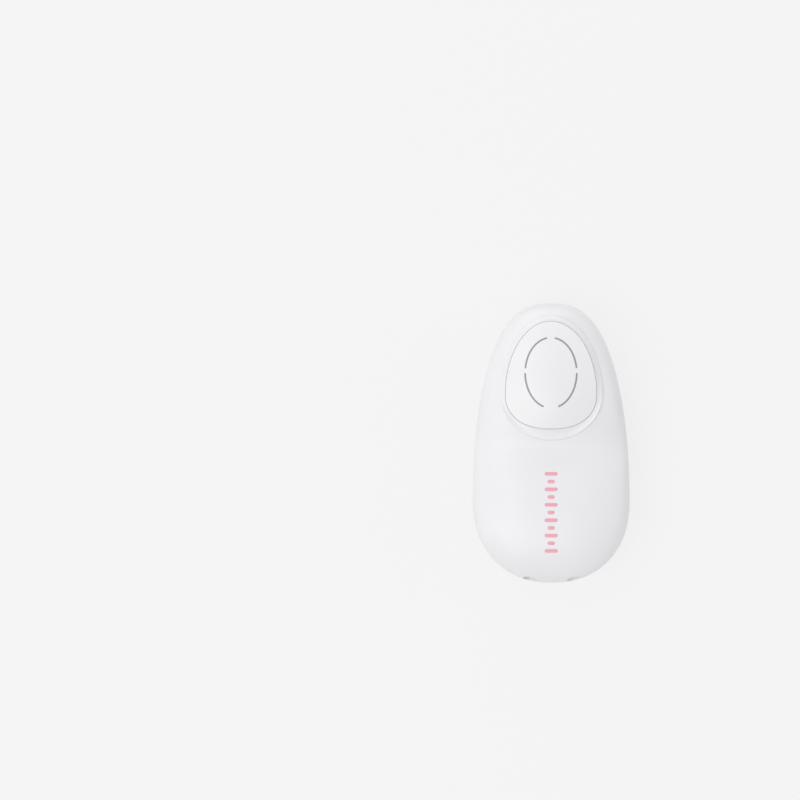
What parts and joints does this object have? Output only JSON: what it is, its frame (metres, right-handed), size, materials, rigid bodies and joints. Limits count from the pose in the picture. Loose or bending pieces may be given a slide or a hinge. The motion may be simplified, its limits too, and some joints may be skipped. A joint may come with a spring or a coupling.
{
  "type": "pocket fetal doppler monitor",
  "caption": "Palm-sized egg-shaped doppler with a raised oval push button, round probe underneath, volume wheel, headphone sockets and a sliding battery door.",
  "frame": {"origin": "middle of the footprint, on the surface that the probe face and the belly rest on", "axes": "+Z towards the front face with the button, +Y towards the narrow probe end, +X to the right seen from the front"},
  "size_m": [0.065, 0.116, 0.0356],
  "materials": {
    "shell_white": "smooth gloss white moulding",
    "button_white": "polished white moulding",
    "print_grey": "pad printed grey ink",
    "print_pink": "pad printed pink ink",
    "spring_steel": "drawn wire",
    "black_plastic": "moulded black",
    "socket_white": "moulded white",
    "board_green": "solder resist over glass laminate",
    "screw_steel": "zinc plated",
    "chip_black": "moulded epoxy",
    "capacitor_sleeve": "shrunk sleeve",
    "can_metal": "drawn can",
    "ferrite": "sintered ferrite",
    "chip_ceramic": "fired ceramic",
    "led_resin": "clear cast resin",
    "dial_grey": "satin with ridges",
    "cell_sleeve": "plain printed sleeve",
    "contact_nickel": "nickel plated",
    "label_silver": "blank satin film",
    "probe_white": "satin white moulding",
    "face_resin": "cast acoustic face",
    "piezo": "silvered ceramic",
    "absorber": "loaded epoxy",
    "lead_red": "extruded insulation",
    "nylon_white": "moulded nylon"
  },
  "bodies": {
    "casing": {"upper_shell": "shell_white", "lower_shell": "shell_white", "button_bezel": "shell_white", "front_mark": "print_pink", "button_springs": "spring_steel", "tact_switch": "black_plastic", "main_board": "board_green", "board_screws": "screw_steel", "board_chips": "chip_black", "capacitors": "capacitor_sleeve", "quartz_can": "can_metal", "choke": "ferrite", "chip_parts": "chip_ceramic", "status_leds": "led_resin", "volume_pot": "black_plastic", "jack_left": "socket_white", "jack_right": "socket_white", "cell_left": "cell_sleeve", "cell_right": "cell_sleeve", "bridge_contact": "contact_nickel", "terminal_contacts": "contact_nickel", "contact_coils": "contact_nickel", "case_screws": "screw_steel", "probe_cup": "probe_white", "probe_face": "face_resin", "crystal_left": "piezo", "crystal_right": "piezo", "probe_backing": "absorber", "probe_leads": "lead_red", "lead_socket": "nylon_white", "lead_plug": "nylon_white"},
    "button": {"power_button": "button_white", "ring_print": "print_grey", "tact_plunger": "black_plastic"},
    "wheel": {"volume_dial": "dial_grey", "dial_screw": "screw_steel"},
    "door": {"battery_door": "shell_white", "rating_label": "label_silver"}
  },
  "joints": [
    {"name": "button_press", "type": "slide", "parent": "casing", "child": "button", "axis": [0, 0, -1], "range_m": [0, 0.0008], "stiffness_N_per_m": 900, "springref_m": -0.0008, "deforming": ["button_springs"]},
    {"name": "volume_turn", "type": "hinge", "parent": "casing", "child": "wheel", "pos_m": [0.02318, -0.005, 0.0082], "axis": [0, 0, 1], "range_deg": [0, 270]},
    {"name": "door_slide", "type": "slide", "parent": "casing", "child": "door", "axis": [0, -1, 0], "range_m": [0, 0.052]}
  ]
}
